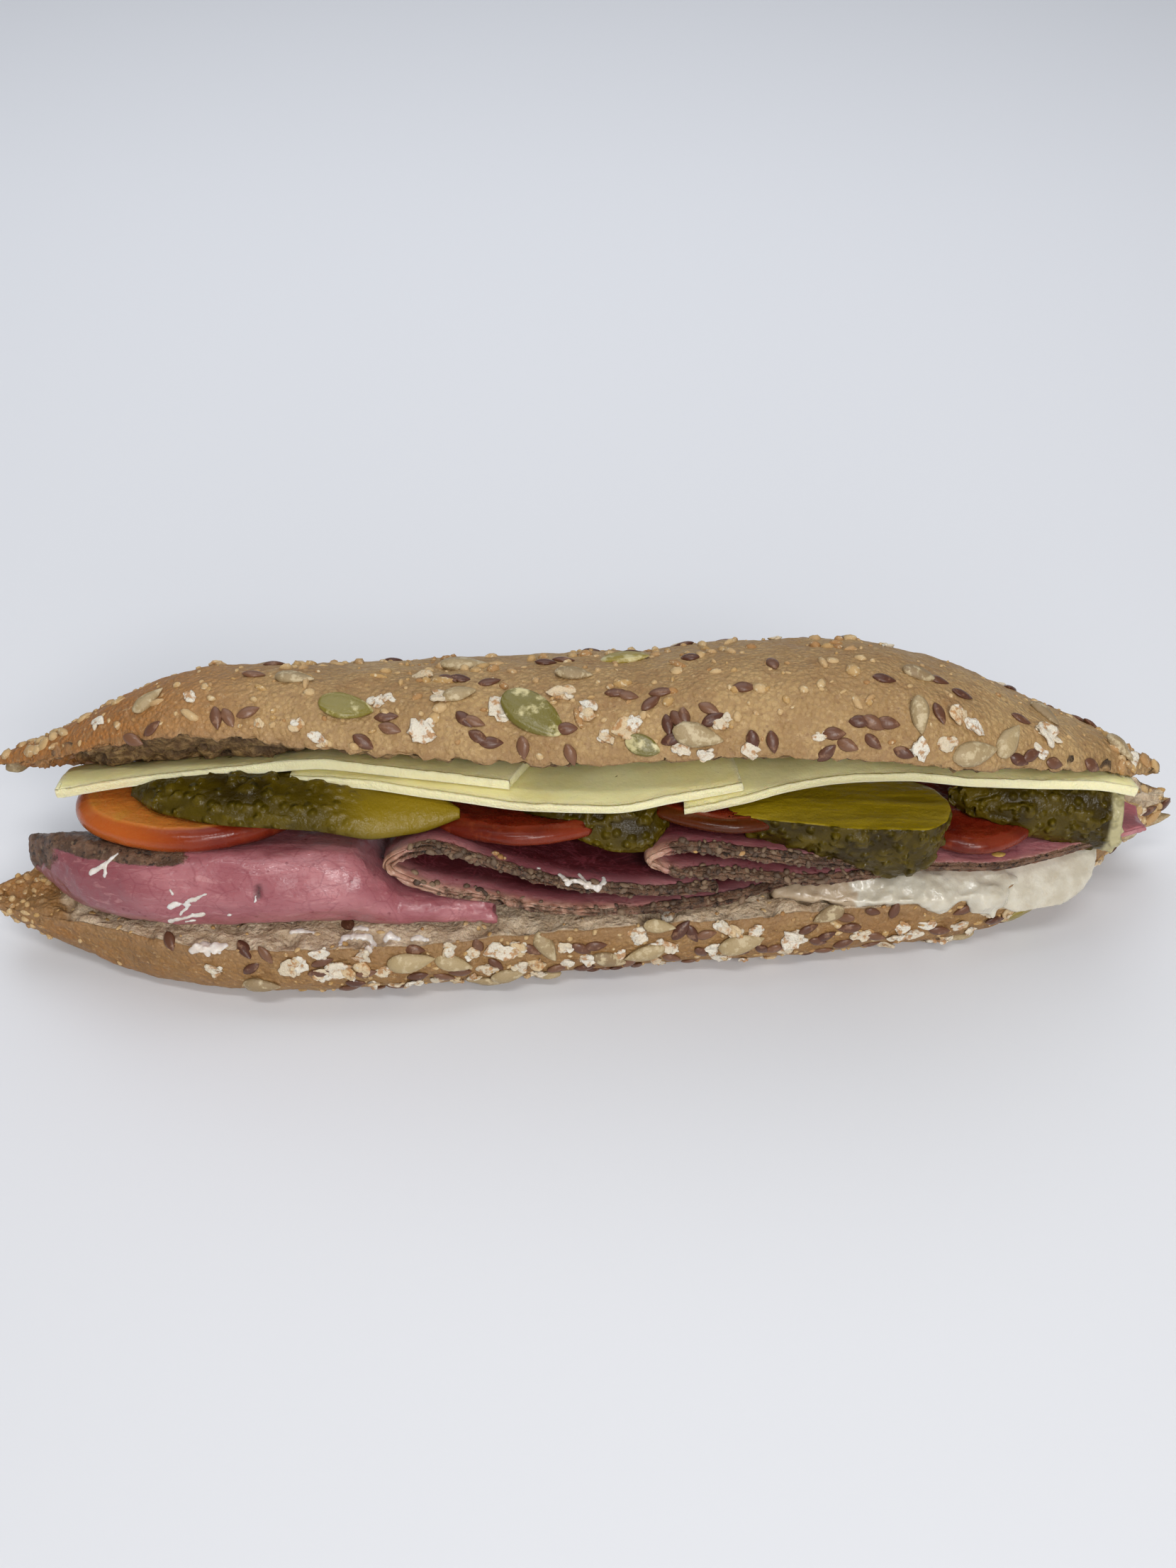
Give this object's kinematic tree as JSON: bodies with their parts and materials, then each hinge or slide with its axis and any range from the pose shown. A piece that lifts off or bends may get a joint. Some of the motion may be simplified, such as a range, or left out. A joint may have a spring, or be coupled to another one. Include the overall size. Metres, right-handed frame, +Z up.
{
  "type": "submarine sandwich",
  "caption": "Long seeded baguette roll filled with folded roast beef, tomato, gherkin, cheese slices and mayonnaise, its upper half leaning back.",
  "frame": {"origin": "on the table, on the flat underside of the lower half, under the middle of the roll", "axes": "+X along the roll to its right-hand tip as seen from the open side, +Y from the open front to the back, +Z up"},
  "size_m": [0.279, 0.0765, 0.0737],
  "materials": {
    "crust": "baked wholemeal crust, matte, dusted with seeds and flakes",
    "beef": "moist pink sliced roast beef with a dark peppered rim",
    "pickle": "wet olive green gherkin",
    "tomato": "wet orange red tomato slice",
    "cheese": "pale yellow semi-soft cheese, satin",
    "mayonnaise": "creamy white, glossy"
  },
  "bodies": {
    "root": {"bread_top": "crust", "bread_bottom": "crust", "beef_1": "beef", "tomato_1": "tomato", "pickle_1": "pickle", "beef_2": "beef", "tomato_2": "tomato", "pickle_2": "pickle", "beef_3": "beef", "tomato_3": "tomato", "pickle_3": "pickle", "beef_4": "beef", "tomato_4": "tomato", "pickle_4": "pickle", "cheese_1": "cheese", "cheese_2": "cheese", "cheese_3": "cheese", "mayonnaise": "mayonnaise"}
  },
  "joints": []
}
